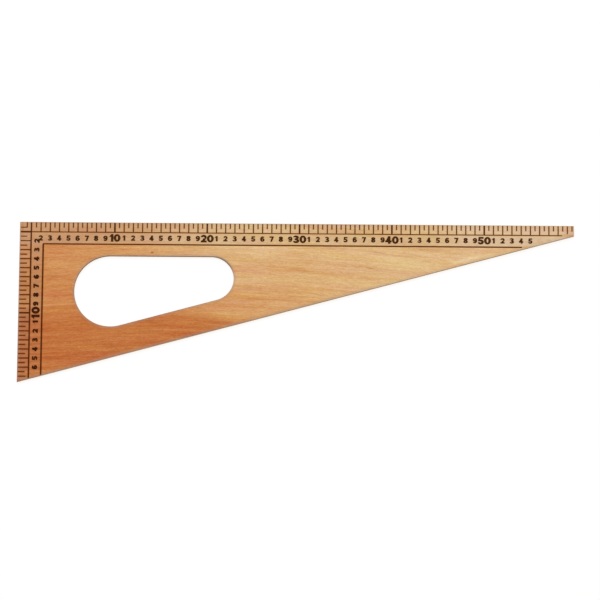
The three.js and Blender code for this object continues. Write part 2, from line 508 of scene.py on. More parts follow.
# %% Lines of the figure
# Along and depth of the middle, half the length and half the width in millimetres, fall, brown.
DARK_LINES = [
    (284, 54.8, 9, 1.1, 0.05, 0.22), (250, 51.7, 14, 1.3, 0.02, 0.18), (221, 86.5, 14, 2.0, -0.10, 0.14),
    (309, 51.8, 12, 0.9, 0.10, 0.24), (330, 55.5, 22, 1.0, 0.07, 0.16), (306, 46.5, 12, 0.7, 0.02, 0.12),
    (369, 47.3, 11, 0.7, 0.09, 0.22), (379, 48.9, 6, 1.0, 0.12, 0.37), (391, 32.2, 9, 0.8, 0.28, 0.30),
    (414, 35.0, 16, 0.7, 0.10, 0.26), (441, 41.2, 6, 0.9, -0.03, 0.29), (296, 76.0, 18, 0.8, 0.10, 0.20),
    (324, 79.0, 16, 0.8, 0.14, 0.26), (249, 73.4, 18, 0.8, 0.03, 0.16), (256, 84.0, 26, 0.9, 0.03, 0.25),
    (290, 85.0, 18, 0.9, 0.06, 0.30), (445, 29.0, 18, 1.3, 0.02, 0.15), (376, 60.0, 9, 2.6, 0.05, 0.11),
    (44, 34.8, 17, 1.1, -0.03, 0.26), (101, 30.8, 16, 0.7, -0.06, 0.20), (114, 29.6, 9, 0.7, -0.03, 0.27),
    (216, 110.0, 20, 2.0, 0.03, 0.22), (189, 113.0, 9, 1.4, -0.10, 0.15), (72, 144.0, 22, 1.0, -0.20, 0.18),
    (82, 149.5, 11, 1.3, -0.12, 0.19), (52, 149.0, 14, 1.2, -0.02, 0.16), (160, 112.5, 16, 1.9, 0, 0.09),
    (33, 63.0, 6, 1.8, 0, 0.14), (190, 30.0, 42, 7.0, 0, 0.10), (38, 60.5, 16, 2.0, -0.02, 0.24),
    (328, 27.4, 34, 1.9, 0.01, 0.20), (446, 27.8, 44, 2.2, 0, 0.08), (472, 32.0, 18, 1.8, 0.02, 0.18),
    (34, 150.5, 18, 2.2, 0, 0.30), (84, 113.5, 18, 3.0, 0.05, 0.14), (142, 109.5, 30, 3.0, 0.06, 0.10),
    (108, 142.0, 24, 2.5, -0.20, 0.16), (46, 133.0, 18, 3.0, 0, 0.16), (143, 119.3, 18, 2.4, 0, 0.12),
    (230, 35.5, 26, 4.0, 0.05, 0.14), (384, 30.5, 16, 1.6, 0.12, 0.16),
]
PALE_STREAKS = [
    (482, 39.5, 18, 3.5, -0.27, -0.18), (262, 62.5, 34, 2.0, 0.03, -0.08), (325, 68.3, 30, 1.8, 0.07, -0.14),
    (214, 27.2, 18, 2.0, 0, -0.10), (314, 83.5, 20, 2.2, 0.05, -0.12), (236, 56.7, 9, 2.0, 0, -0.12),
    (70, 27.5, 18, 1.5, 0, -0.10), (57, 70.3, 8, 2.5, 0, -0.10), (248, 79.5, 20, 2.8, 0.02, -0.18),
    (286, 48.7, 10, 1.6, 0, -0.16), (228, 106.5, 18, 2.4, 0, -0.12), (394, 38.0, 24, 3.5, 0.05, -0.12),
]
WAVE = (26, 9, 4.3)
WAVE_HEIGHT = 2.6
TEAR = (4.5, 0.8, 6.1)
TORN = 3.0


def figure(along, depth, lines, seed):
    """All the lines of the figure, wavy and torn by the fibres."""
    wavy = depth + fibres(along, depth, *WAVE, seed) * WAVE_HEIGHT
    total = sum(lens(along, wavy, *place) * brown for *place, brown in lines)
    tears = fibres(along, depth, *TEAR, seed) * TORN
    return total * (1 + tears).greatest(0)


print("The figure has", len(DARK_LINES), "dark lines and", len(PALE_STREAKS), "pale streaks")

# %% [markdown]
# ## Pores
#
# Close up, beech shows short dark dashes, the cut ends of its rays, a millimetre or two long. From
# the camera's distance they only roughen the tone a little. Voronoi cells drawn out along the grain
# give them: each cell holds one dash, and only the darker half of the cells shows one.

# %% Ray flecks
FLECK = (3.4, 0.75, 5.9)
FLECK_CORE = (0.08, 0.32)
FLECK_CHOICE = (0.45, 0.8)


def ray_flecks(along, depth, seed):
    place = drawn_out(along, depth, *FLECK, seed)
    cells = along.nodes.node("ShaderNodeTexVoronoi", None, {"Vector": place, "Scale": 1.0})
    chosen = along.nodes.node("ShaderNodeSeparateColor", None, {"Color": cells.output("Color")})
    return (1 - cells.rise(*FLECK_CORE)) * chosen.rise(*FLECK_CHOICE)


print("The cell of a fleck is", FLECK[0], "by", FLECK[1], "mm")

# %% [markdown]
# ## Distance to the nearest edge
#
# Wear follows the edges, so every point of the face needs its distance to the nearest one. Inside
# the outline that is the least of its distances to the four sides. The hand hole is the shape that a
# belt makes round two discs, so the distance to it is worked out from the two discs and their belt.

# %% The belt round two discs
TOP_RAIL = 37.1
HOLE_START = 59.9
HOLE_END = 232.1
WIDE_RADIUS = 39.14
NARROW_RADIUS = 24.40

wide_disc = Vector((HOLE_START + WIDE_RADIUS, TOP_RAIL + WIDE_RADIUS))
narrow_disc = Vector((HOLE_END - NARROW_RADIUS, TOP_RAIL + NARROW_RADIUS))
disc_distance = (narrow_disc - wide_disc).length
hole_axis = (narrow_disc - wide_disc) / disc_distance
belt_sine = (WIDE_RADIUS - NARROW_RADIUS) / disc_distance
belt_tangent = belt_sine / math.sqrt(1 - belt_sine ** 2)


def to_hole(along, depth):
    """How far outside the rim of the hand hole a point is."""
    past = along - wide_disc.x
    below = depth - wide_disc.y
    on_axis = past * hole_axis.x + below * hole_axis.y
    off_axis = abs(below * hole_axis.x - past * hole_axis.y)
    centre = (on_axis - off_axis * belt_tangent).greatest(0).least(disc_distance)
    from_centre = on_axis - centre
    distance = (from_centre * from_centre + off_axis * off_axis).root()
    return distance - WIDE_RADIUS + centre * belt_sine


print("The belt of the hand hole leans by", round(math.degrees(math.asin(belt_sine)), 2), "degrees")

# %% The outline
BLUNT_TIP = 11.2
SLOPE = (SHORT_EDGE - BLUNT_TIP) / LONG_EDGE


def to_outline(along, depth):
    """How far inside the outline a point is."""
    above_slant = (SHORT_EDGE - SLOPE * along - depth) / math.hypot(1, SLOPE)
    return along.least(depth).least(LONG_EDGE - along).least(above_slant)


print("The slanted edge rises by", round(math.degrees(math.atan(SLOPE)), 2), "degrees")

# %% [markdown]
# ## Sawn edges, greyer rims and a painted shadow
#
# The square is cut from a board of three glued plies, so its walls show sawn wood: duller and
# greyer than the sealed face, with fine strokes of the saw. Round the hand hole they are darker, and
# all along its edges the face turns a greyish brown, a few millimetres wide. On the upper right arc
# of the hole's rim a shadow is painted into the face's colour. A wall is known by its normal, which
# lies flat there.

# %% Walls
SAWN = tone(228, 190, 154)
SAWN_STROKE = tone(188, 150, 116)
STROKE_RISE = (0.3, 0.75)
# The darker tone of the walls round the hand hole, also used for the painted shadow on the hole's rim.
DARKER_AND_SHADOW_TONE = tone(104, 78, 60)
HOLE_DARKER_SHARE = 0.7
HOLE_DARKER_REACH = (2, 5)
UPRIGHT_TO_FLAT = (0.15, 0.97)


def wall_mask(finish):
    """1 on the sawn walls and 0 on the flat faces."""
    normal = finish.node("ShaderNodeNewGeometry").output("Normal")
    upward = finish.node("ShaderNodeSeparateXYZ", None, {"Vector": normal}).output("Z")
    return 1 - abs(upward).rise(*UPRIGHT_TO_FLAT)


def sawn_wood(finish, along, depth, strokes):
    """The colour of a wall. strokes varies about zero and says where the saw left its marks."""
    fresh = finish.blend((strokes + NOISE_MIDDLE).rise(*STROKE_RISE), SAWN, SAWN_STROKE)
    by_hole = 1 - to_hole(along, depth).rise(*HOLE_DARKER_REACH)
    return finish.blend(by_hole * HOLE_DARKER_SHARE, fresh, DARKER_AND_SHADOW_TONE)


print("Beside the hole a wall is", round(100 * HOLE_DARKER_SHARE), "percent towards the darker tone")

# %% Greyer rim and painted shadow
EDGE_GREY = tone(156, 138, 126)
EDGE_GREY_SHARE = 0.34
RIM = (1.0, 3.6)
RIM_WEAKENS = (300, 480)
LESS_TO_TIP = 0.5
# A painted shadow darkens the face's rim on the hand hole's upper right arc, round this middle (along and
# depth).
HOLE_SHADOW_MIDDLE = (223, 43)
HOLE_SHADOW_REACH = 15
HOLE_SHADOW_RIM = (0.3, 2.0)
HOLE_SHADOW_SHARE = 0.6


def rubbed_rim(finish, colour, along, depth):
    """Greys the face along its edges, less so towards the tip, and paints a shadow on one arc of the hole's
    rim.
    """
    to_edge = to_outline(along, depth).least(to_hole(along, depth))
    greyed = (1 - to_edge.rise(*RIM)) * (1 - along.rise(*RIM_WEAKENS) * LESS_TO_TIP)
    colour = finish.blend(greyed * EDGE_GREY_SHARE, colour, EDGE_GREY)
    # Painted shadow along the upper right arc of the hand hole's rim.
    painted_hole_shadow = lens(along, depth, *HOLE_SHADOW_MIDDLE, HOLE_SHADOW_REACH, HOLE_SHADOW_REACH) * (1 - to_edge.rise(*HOLE_SHADOW_RIM))
    return finish.blend(painted_hole_shadow * HOLE_SHADOW_SHARE, colour, DARKER_AND_SHADOW_TONE)


print("The face is rubbed up to", RIM[1], "mm from its edges")

# %% [markdown]
# ## Where the marks stand
#
# The marks are stamped every five millimetres, long at the whole centimetres and short between them,
# and each scale is closed by a line. A brown tinge has crept from their paint into the wood, and a
# fainter one surrounds the numerals. To find how far a point is from the nearest mark, the distance
# along the scale is folded back and forth like a carpenter's rule, which the Math node calls
# ping-pong.

# %% Sizes of the marks
CENTIMETRE = 10
LONG_ZERO = 2.9
SHORT_ZERO = 1.1
LONG_HALF_MARK = 6.3
SHORT_HALF_MARK = 8.2
LONG_LINE = 11.1
SHORT_LINE = 12.4
LONG_ROW = 17.3
SHORT_ROW = 18.75
LONG_BAND = 24.4
SHORT_BAND = 25.6
print("The long scale's zero is", LONG_ZERO, "mm from the corner")

# %% Ink bleed
TINGE_ON_PALE = (0.94, 0.79, 0.55)
TINGE_ON_AMBER = (0.91, 0.60, 0.20)
BLEED = (0.5, 1.7)
NUMERAL_REACH = (3.4, 4.4)
NUMERAL_BLEED = 0.45
FADE = 1


def tinge_by(distance):
    """1 on a line and beside it, and 0 further off."""
    return 1 - abs(distance).rise(*BLEED)


def tinge_by_scale(along_scale, off_edge, zero, half_mark, line, row):
    """How near the marks, the closing line and the numerals of one scale are."""
    since_zero = along_scale - zero
    to_mark = since_zero.maths("PINGPONG", since_zero, CENTIMETRE / 2)
    to_half_mark = CENTIMETRE / 2 - to_mark
    by_mark = tinge_by(to_mark) * (1 - off_edge.rise(line, line + FADE))
    by_half_mark = tinge_by(to_half_mark) * (1 - off_edge.rise(half_mark, half_mark + FADE))
    beside = to_mark / NUMERAL_REACH[0]
    beyond = (off_edge - row) / NUMERAL_REACH[1]
    by_numeral = (1 - beside * beside - beyond * beyond).greatest(0) * NUMERAL_BLEED
    return by_mark.greatest(by_half_mark).greatest(tinge_by(off_edge - line)).greatest(by_numeral)


def ink_bleed(finish, colour, along, depth):
    """Tinges the wood round the paint of both scales and of the border."""
    by_long = tinge_by_scale(along, depth, LONG_ZERO, LONG_HALF_MARK, LONG_LINE, LONG_ROW)
    by_border = tinge_by(depth - LONG_BAND) * along.rise(SHORT_BAND - FADE, SHORT_BAND)
    by_short = tinge_by_scale(depth, along, SHORT_ZERO, SHORT_HALF_MARK, SHORT_LINE, SHORT_ROW)
    by_upright_border = tinge_by(along - SHORT_BAND) * depth.rise(LONG_BAND - FADE, LONG_BAND)
    in_long = 1 - depth.rise(LONG_BAND - FADE, LONG_BAND + FADE)
    upright = by_short.greatest(by_upright_border) * (1 - in_long)
    colour = finish.blend(by_long.greatest(by_border), colour, TINGE_ON_PALE, "MULTIPLY")
    return finish.blend(upright, colour, TINGE_ON_AMBER, "MULTIPLY")


print("The tinge reaches", BLEED[1], "mm from the middle of a line")

# %% [markdown]
# ## The two face veneers
#
# Both faces are the same beech. The front has the figure and colour of the photographed one. The
# band of the long scale is worn greyer by hands and cloth, and pale with tailor's chalk towards the
# tip. So is the top of the short scale's band, and below that a hand holds the square to the fold
# and has darkened it. The back isn't seen in the photograph, so it gets bands and streaks of its own
# and no printing.

# %% Amber and brown of a veneer
BROAD_STRONGER_IN_AMBER = 1.6
FINE_STRONGER_IN_AMBER = 0.6
FINE_SEED = 10
FLECK_BROWN = 0.22
# The middle of the knot, half its length and half its width.
KNOT = (143.6, 33.2, 2.1, 1.5)
KNOT_BROWN = 0.9


def veneer_amber(along, depth, bands, is_front, seed):
    """The amber: bands, broad streaks and, on the front, the heartwood's stain and the patches."""
    amber = growth_bands(along, depth, bands, seed)
    if is_front:
        amber = front_shading(amber, along, depth)
    broad = streaks(along, grain_depth(along, depth), BROAD_STREAKS, seed)
    return amber + broad * (1 + amber * BROAD_STRONGER_IN_AMBER)


def veneer_brown(along, depth, amber, lines, is_front, seed):
    """The brown: fine streaks, lines, flecks and, on the front, the knot."""
    grain = grain_depth(along, depth)
    fine = streaks(along, grain, FINE_STREAKS, seed + FINE_SEED)
    brown = fine * (1 + amber * FINE_STRONGER_IN_AMBER)
    brown = brown + figure(along, depth, lines, seed)
    brown = brown + ray_flecks(along, grain, seed) * FLECK_BROWN
    if is_front:
        brown = brown + lens(along, depth, *KNOT) * KNOT_BROWN
    return brown


print("The knot is", 2 * KNOT[2], "by", 2 * KNOT[3], "mm")

# %% Tint
BLUSH = (1.00, 0.93, 1.09)
HONEY = (1.00, 1.01, 0.87)
TINT_PATCH = (60, 7, 12.5)
TINT_RISE = 0.25


def tinted(finish, colour, along, depth, seed):
    """Patches with a pinkish and with a honey-yellow cast."""
    cast = fibres(along, grain_depth(along, depth), *TINT_PATCH, seed)
    colour = finish.blend(cast.rise(0, TINT_RISE), colour, BLUSH, "MULTIPLY")
    return finish.blend((0 - cast).rise(0, TINT_RISE), colour, HONEY, "MULTIPLY")


print("A tinted patch is about", TINT_PATCH[0], "mm long")

# %% Bands of the scales
WORN = tone(176, 168, 152)
WORN_AT_CORNER = 0.27
WORN_FURTHER = 0.17
WORN_LESS = (100, 260)
CHALKY = tone(212, 200, 194)
CHALKY_SHARE = 0.28
CHALKY_FROM = (440, 490)
FADED = tone(172, 152, 132)
FADED_SHARE = [(30, 0.28), (75, 0.0)]
SOILED = tone(140, 110, 90)
SOILED_SHARE = [(30, 0.0), (70, 0.28), (96, 0.28), (120, 0.10)]
SOILED_BY_MARKS = [(96, 0.0), (112, 0.20)]


def scale_bands(finish, colour, along, depth):
    """The long scale's band, worn and then chalky, and the short one's, faded and soiled."""
    in_long = 1 - depth.rise(LONG_BAND - FADE, LONG_BAND + FADE)
    in_short = (1 - along.rise(SHORT_BAND - FADE, SHORT_BAND + FADE)) * (1 - in_long)
    worn = WORN_AT_CORNER + (WORN_FURTHER - WORN_AT_CORNER) * along.rise(*WORN_LESS)
    chalky = along.rise(*CHALKY_FROM)
    colour = finish.blend(in_long * (1 - chalky) * worn, colour, WORN)
    colour = finish.blend(in_long * chalky * CHALKY_SHARE, colour, CHALKY)
    colour = finish.blend(in_short * profile(depth, FADED_SHARE), colour, FADED)
    by_marks = (1 - along.rise(SHORT_LINE, SHORT_LINE + FADE)) * profile(depth, SOILED_BY_MARKS)
    soiled = profile(depth, SOILED_SHARE) + by_marks
    return finish.blend(in_short * soiled, colour, SOILED)


print("Chalk has settled on the band from", CHALKY_FROM[0], "mm on")

# %% Veneer finish
FACE_SPECULAR = 0.12
FACE_ROUGHNESS = 0.50
ROUGHER_ON_WALL = 0.3
ROUGHER_BY_GRAIN = 0.2
SAW_DOTS = (0.9, 0.9, 0)
SAW_STROKES = (14, 0.5, 0)
HAIR = (9, 0.5, 7.1)
HAIR_BUMP = (0.25, 0.06)


def veneer(name, bands, lines, is_front, seed):
    """The material of a face ply: its face, and its sawn wall."""
    finish = Finish(name, FACE_SPECULAR)
    along, depth, height = distances(finish)
    amber = veneer_amber(along, depth, bands, is_front, seed)
    brown = veneer_brown(along, depth, amber, lines, is_front, seed)
    colour = tinted(finish, wood_colour(finish, amber, brown), along, depth, seed)
    if is_front:
        colour = scale_bands(finish, colour, along, depth)
        colour = ink_bleed(finish, colour, along, depth)
    colour = rubbed_rim(finish, colour, along, depth)
    wall = wall_mask(finish)
    dots = fibres(along, depth, *SAW_DOTS, seed)
    saw = dots + fibres(along, height, *SAW_STROKES, seed)
    colour = finish.blend(wall, colour, sawn_wood(finish, along, depth, saw))
    hairs = fibres(along, depth, *HAIR, seed)
    roughness = FACE_ROUGHNESS + hairs * ROUGHER_BY_GRAIN + wall * ROUGHER_ON_WALL
    finish.set(Base_Color=colour, Roughness=roughness)
    finish.set_bump(hairs, *HAIR_BUMP)
    print(name, "has", len(finish.tree.nodes), "nodes")
    return finish.material


def dress(node, material):
    """Gives a piece of the fixed model its material, in the slot that it has."""
    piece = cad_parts[node]
    if not piece.material_slots:
        piece.data.materials.append(material)
    for slot in piece.material_slots:
        slot.material = material


front_lines = DARK_LINES + PALE_STREAKS
dress("front_veneer", veneer("front_beech", FRONT_BANDS, front_lines, is_front=True, seed=3.1))

# %% Back veneer
BACK_BANDS = [(0, 0.30), (22, 0.18), (47, 0.36), (80, 0.22), (112, 0.44), (140, 0.30), (176, 0.5)]
BACK_LINES = [
    (120, 24, 40, 1.3, 0.04, 0.35),
    (260, 33, 60, 1.2, -0.03, 0.30),
    (210, 98, 45, 1.5, 0.05, 0.30),
    (70, 128, 38, 1.4, 0.02, 0.35),
    (330, 62, 50, 1.1, 0.06, 0.28),
]
dress("back_veneer", veneer("back_beech", BACK_BANDS, BACK_LINES, is_front=False, seed=11.7))

# %% [markdown]
# ## The core ply
#
# The middle ply runs across the other two, which keeps the square true. Where the long edge cuts
# it, its fibres end in fine dots, and its glue lines show as two thin dark seams. Only its walls are
# ever seen, so it is all sawn wood.

# %% Core finish
CORE_SPECULAR = 0.25
CORE_ROUGHNESS = 0.8
ROUGHER_BY_LAYER = 0.2
GLUE = tone(92, 66, 46)
GLUE_LINE = (0.036, 0.09)
FIBRE_ENDS = (0.35, 0.2, 21.3)
FIBRE_END_BUMP = (0.3, 0.05)
LAYER = (20, 0.35, 8.8)
CORE_DARKER = 0.1

core_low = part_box("core_ply")[0].z / MM
core_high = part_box("core_ply")[1].z / MM


def core_wood():
    """The material of the core ply: sawn wood between two glue lines."""
    finish = Finish("core_beech", CORE_SPECULAR)
    along, depth, height = distances(finish)
    dots = fibres(along, height, *FIBRE_ENDS)
    layers = fibres(depth, height, *LAYER)
    colour = sawn_wood(finish, along, depth, dots + layers + CORE_DARKER)
    to_glue = abs(height - core_low).least(abs(height - core_high))
    colour = finish.blend(to_glue.rise(*GLUE_LINE), GLUE, colour)
    finish.set(Base_Color=colour, Roughness=CORE_ROUGHNESS + layers * ROUGHER_BY_LAYER)
    finish.set_bump(dots, *FIBRE_END_BUMP)
    return finish.material


dress("core_ply", core_wood())
print("The core ply is", round(core_high - core_low, 2), "mm thick")

# %% [markdown]
# ## The paint in the stamped lines
#
# The marks are stamped into the wood and filled with a brown-black paint. It isn't even: where it is
# thin, the wood shows through, so marks turn brown, olive on pale wood and reddish on amber wood. The
# paint is one dark tone that a cloudy pattern thins towards a brown one.

# %% Paint finish
DARK_AND_THIN = (tone(48, 20, 3), tone(120, 58, 10))
ON_PALE_WOOD = (tone(44, 25, 8), tone(106, 62, 18))
ON_AMBER_WOOD = (tone(42, 14, 0), tone(104, 46, 6))
PAINT_SPECULAR = 0.03
PAINT_ROUGHNESS = 0.55
ROUGHER_BY_SPECKLE = 0.3
CLOUD = (7, 7, 0)
CLOUD_DETAIL = 3.0
SPECKLE = (0.7, 0.7, 3.3)
SPECKLE_SHARE = 0.6
SPECKLE_BUMP = (0.4, 0.02)


def paint(name, thinness, spread, seed, tones=DARK_AND_THIN):
    """thinness is how brown the paint is on average, and spread how much that varies."""
    finish = Finish(name, PAINT_SPECULAR)
    along, depth, _ = distances(finish)
    cloud = fibres(along, depth, *CLOUD, seed, CLOUD_DETAIL)
    speckle = fibres(along, depth, *SPECKLE, seed)
    thin = (thinness + cloud * spread + speckle * (spread * SPECKLE_SHARE)).greatest(0).least(1)
    roughness = PAINT_ROUGHNESS + speckle * ROUGHER_BY_SPECKLE
    finish.set(Base_Color=finish.blend(thin, *tones), Roughness=roughness)
    finish.set_bump(speckle, *SPECKLE_BUMP)
    return finish.material


dress("long_scale_paint", paint("long_line_paint", thinness=0.32, spread=0.9, seed=2.2))
dress("short_scale_paint", paint("short_line_paint", thinness=0.30, spread=0.8, seed=5.5))
dress("border_paint", paint("border_line_paint", thinness=0.34, spread=0.8, seed=9.1))
mark_paint = paint("mark_paint", thinness=0.48, spread=0.9, seed=13.4)
long_numeral_paint = paint("long_numeral_paint", 0.25, 0.8, 17.8, tones=ON_PALE_WOOD)
short_numeral_paint = paint("short_numeral_paint", 0.20, 0.8, 19.6, tones=ON_AMBER_WOOD)
print("All", len(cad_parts), "pieces of the fixed model have their finish")

# %% [markdown]
# ## The half-centimetre marks
#
# Between the centimetre marks stand shorter ones that touch no line. Their grooves are already in
# the veneer, and only their paint is missing. One mark is modelled by hand, from a cube at its size
# and place with its upper edges rounded over as wet paint rounds them, and copied down the scale.

# %% Handling pieces
def only(*pieces):
    """Selects these pieces alone, and makes the first of them the active one."""
    clear_selection()
    for piece in pieces:
        piece.select_set(True)
    bpy.context.view_layer.objects.active = pieces[0]


def bake_place(piece):
    """Moves a piece's place into its mesh, so that its object sits at the origin."""
    only(piece)
    bpy.ops.object.transform_apply(location=True, rotation=True, scale=True)


def copy_to(piece, place):
    """A copy with its own mesh, taken to its place by a matrix."""
    only(piece)
    bpy.ops.object.duplicate(linked=False)
    copied = bpy.context.object
    copied.matrix_world = place
    bake_place(copied)
    return copied


def join(name, pieces, material):
    """Joins pieces into one that rides on the square and takes the paint's slot."""
    only(*pieces)
    bpy.ops.object.join()
    joined = bpy.context.object
    joined.name = name
    joined.data.materials.clear()
    joined.data.materials.append(material)
    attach(joined, "root")
    print(name, "has", len(joined.data.polygons), "faces")


# %% Selecting by a rule
KINDS = ("vertices", "edges", "polygons")


def select_where(kind, is_chosen):
    """Selects in edit mode the corners, edges or faces that a rule picks, and counts them."""
    bpy.ops.object.mode_set(mode="EDIT")
    bpy.context.tool_settings.mesh_select_mode = [kind == other for other in KINDS]
    bpy.ops.mesh.select_all(action="DESELECT")
    bpy.ops.object.mode_set(mode="OBJECT")
    parts = getattr(bpy.context.object.data, kind)
    for part in parts:
        part.select = is_chosen(part)
    chosen = sum(part.select for part in parts)
    bpy.ops.object.mode_set(mode="EDIT")
    return chosen


# %% One mark
MARK_WIDTH = 1.15
PAINT_ROUNDING = 0.04
ROUNDING_STEPS = 2

groove_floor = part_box("long_scale_paint")[0].z
paint_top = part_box("long_scale_paint")[1].z


def paint_mark(near_corner, far_corner, top):
    """The paint of one mark between two opposite corners, each along and depth."""
    low = on_board(near_corner[0], far_corner[1], groove_floor)
    high = on_board(far_corner[0], near_corner[1], top)
    clear_selection()
    bpy.ops.mesh.primitive_cube_add(size=1, location=(low + high) / 2, scale=high - low)
    mark = bpy.context.object
    bake_place(mark)

    def lies_on_top(edge):
        return all(mark.data.vertices[end].co.z > face_height for end in edge.vertices)

    select_where("edges", lies_on_top)
    bpy.ops.mesh.bevel(offset=PAINT_ROUNDING * MM, segments=ROUNDING_STEPS, affect="EDGES")
    bpy.ops.object.mode_set(mode="OBJECT")
    return mark


print("The paint stands", round((paint_top - face_height) / MM, 3), "mm proud of the face")

# %% The free marks of both scales
LONG_EDGE_GAP = 0.6
SHORT_EDGE_GAP = 1.0
LAST_MARK = 9.2
LONG_HALVES = 60
SHORT_HALVES = 17
CROSSING_STEP = 0.004

half = MARK_WIDTH / 2


def free_marks(first, last, step, count):
    """Copies the first mark along a scale, and adds the last centimetre mark."""
    places = [Matrix.Translation(step * number) for number in range(1, count)]
    return [first, *(copy_to(first, place) for place in places), last]


first_at = LONG_ZERO + CENTIMETRE / 2
last_at = LONG_ZERO + (LONG_HALVES - 1) * CENTIMETRE
first_mark = paint_mark((first_at - half, LONG_EDGE_GAP), (first_at + half, LONG_HALF_MARK), paint_top)
last_mark = paint_mark((last_at - half, LONG_EDGE_GAP), (last_at + half, LAST_MARK), paint_top)
step = Vector((CENTIMETRE * MM, 0, 0))
join("long_half_marks", free_marks(first_mark, last_mark, step, LONG_HALVES), mark_paint)

# The first half marks of the two scales cross, so the short scale's paint is a hair thinner.
short_top = paint_top - CROSSING_STEP * MM
first_at = SHORT_ZERO + CENTIMETRE / 2
last_at = SHORT_ZERO + SHORT_HALVES * CENTIMETRE
first_mark = paint_mark((SHORT_EDGE_GAP, first_at - half), (SHORT_HALF_MARK, first_at + half), short_top)
last_mark = paint_mark((SHORT_EDGE_GAP, last_at - half), (LAST_MARK, last_at + half), short_top)
step = Vector((0, -CENTIMETRE * MM, 0))
join("short_half_marks", free_marks(first_mark, last_mark, step, SHORT_HALVES), mark_paint)

# %% [markdown]
# ## Numerals from bars and bowls
#
# The numerals are a plain fat grotesque: round bowls and square-cut bars, with the level strokes a
# little thinner than the upright ones so that the counters stay open. A sign writer draws them from
# a few bars and bowls, and so do these cells. Each digit is made once, one unit high, from planes
# and rings that are given a thickness and joined with Boolean modifiers. Their Manifold solver joins
# strokes that all lie between the same two planes without leaving holes. A pen is a pair of numbers:
# how wide the upright and the level strokes of a digit one unit high are. Where a pen would fill a
# small bowl, a pinhole is left open.

# %% Bars
DIGIT_THICKNESS = 0.1


def give_thickness():
    """Raises the flat stroke that is in edit mode into a closed solid."""
    bpy.ops.mesh.select_all(action="SELECT")
    bpy.ops.mesh.extrude_region_move(TRANSFORM_OT_translate={"value": (0, 0, DIGIT_THICKNESS)})
    bpy.ops.mesh.select_all(action="SELECT")
    bpy.ops.mesh.normals_make_consistent(inside=False)
    bpy.ops.object.mode_set(mode="OBJECT")
    stroke = bpy.context.object
    bake_place(stroke)
    return stroke


def flat_bar(middle, width, height):
    """A flat rectangle, left in edit mode."""
    clear_selection()
    bpy.ops.mesh.primitive_plane_add(size=1, enter_editmode=True, location=middle)
    bpy.ops.transform.resize(value=(width, height, 1), center_override=middle)


def bar(left, bottom, right, top):
    """A level or upright bar."""
    flat_bar(((left + right) / 2, (bottom + top) / 2, 0), right - left, top - bottom)
    return give_thickness()


def leaning_bar(foot, head, width):
    """A bar with level ends, whose middles are foot and head. Its width is measured level."""
    height = head[1] - foot[1]
    flat_bar((foot[0], foot[1] + height / 2, 0), width, height)
    select_where("vertices", lambda corner: corner.co.y > 0)
    bpy.ops.transform.translate(value=(head[0] - foot[0], 0, 0))
    return give_thickness()


# %% Bowls
RING_SIDES = 40
LEAST_OPEN = 0.08


def bowl(pen, centre, radii, first=0, last=360):
    """A ring, or the part of it between two angles, counted from the right and anticlockwise."""
    open_shares = [max(1 - stroke / radius, LEAST_OPEN) for stroke, radius in zip(pen, radii)]
    middle = (*centre, 0)
    clear_selection()
    bpy.ops.mesh.primitive_circle_add(
        vertices=RING_SIDES, radius=1, fill_type="NGON", enter_editmode=True, location=middle
    )
    bpy.ops.transform.resize(value=(*radii, 1), center_override=middle)
    bpy.context.tool_settings.mesh_select_mode = (False, False, True)
    bpy.ops.mesh.inset(thickness=0, depth=0)
    bpy.ops.transform.resize(value=(*open_shares, 1), center_override=middle)
    bpy.ops.mesh.delete(type="FACE")

    def is_unwanted(face):
        angle = math.degrees(math.atan2(face.center.y / radii[1], face.center.x / radii[0]))
        return (angle - first) % 360 > last - first

    if select_where("polygons", is_unwanted):
        bpy.ops.mesh.delete(type="FACE")
    return give_thickness()


# %% Joining strokes
def digit_from(name, *strokes):
    """Joins strokes that overlap into one clean solid."""
    digit, *others = strokes
    for other in others:
        joint = digit.modifiers.new("joint", "BOOLEAN")
        joint.operation = "UNION"
        joint.solver = "MANIFOLD"
        joint.object = other
        only(digit)
        bpy.ops.object.modifier_apply(modifier=joint.name)
        bpy.data.objects.remove(other)
    digit.name = "digit_" + name
    return digit


# %% [markdown]
# ## Drawing the digits
#
# Every digit stands on the level of 0 and reaches up to 1, with its left side near 0. A leaning bar is
# measured level, where a steep one looks fatter than it is, so it gets less than the pen's width. The
# nine is the six turned upside down.

# %% Digits 0 to 4
SLIM = 0.8
STOUT = 1.15


def zero(pen):
    return digit_from("zero", bowl(pen, (0.44, 0.5), (0.44, 0.5)))


def one(pen):
    upright, _ = pen
    stem = bar(0.54 - upright, 0, 0.54, 1)
    flag = leaning_bar((0.10, 0.64), (0.37, 0.97), upright * SLIM)
    return digit_from("one", stem, flag)


def two(pen):
    upright, level = pen
    head = bowl(pen, (0.38, 0.68), (0.38, 0.32), -42, 176)
    neck = leaning_bar((0.18, 0.0), (0.54, 0.55), upright * STOUT)
    return digit_from("two", head, neck, bar(0.0, 0.0, 0.76, level))


def three(pen):
    _, level = pen
    upper = bowl(pen, (0.385, 0.735), (0.375, 0.265), -90, 174)
    lower = bowl(pen, (0.40, 0.295), (0.41, 0.295), -174, 90)
    waist = bar(0.22, 0.505 - level / 2, 0.42, 0.505 + level / 2)
    return digit_from("three", upper, lower, waist)


def four(pen):
    upright, level = pen
    stem = bar(0.67 - upright, 0, 0.67, 1)
    slope = leaning_bar((0.11, 0.22), (0.50, 0.99), upright * SLIM)
    return digit_from("four", stem, bar(0, 0.19, 0.82, 0.19 + level), slope)


# %% Digits 5 to 9
MIDDLE_OF_SIX = (0.41, 0.5, 0)


def five(pen):
    upright, level = pen
    belly = bowl(pen, (0.37, 0.33), (0.40, 0.33), -166, 138)
    back = leaning_bar((0.16, 0.42), (0.22, 0.98), upright * SLIM)
    return digit_from("five", belly, bar(0.10, 1 - level, 0.73, 1), back)


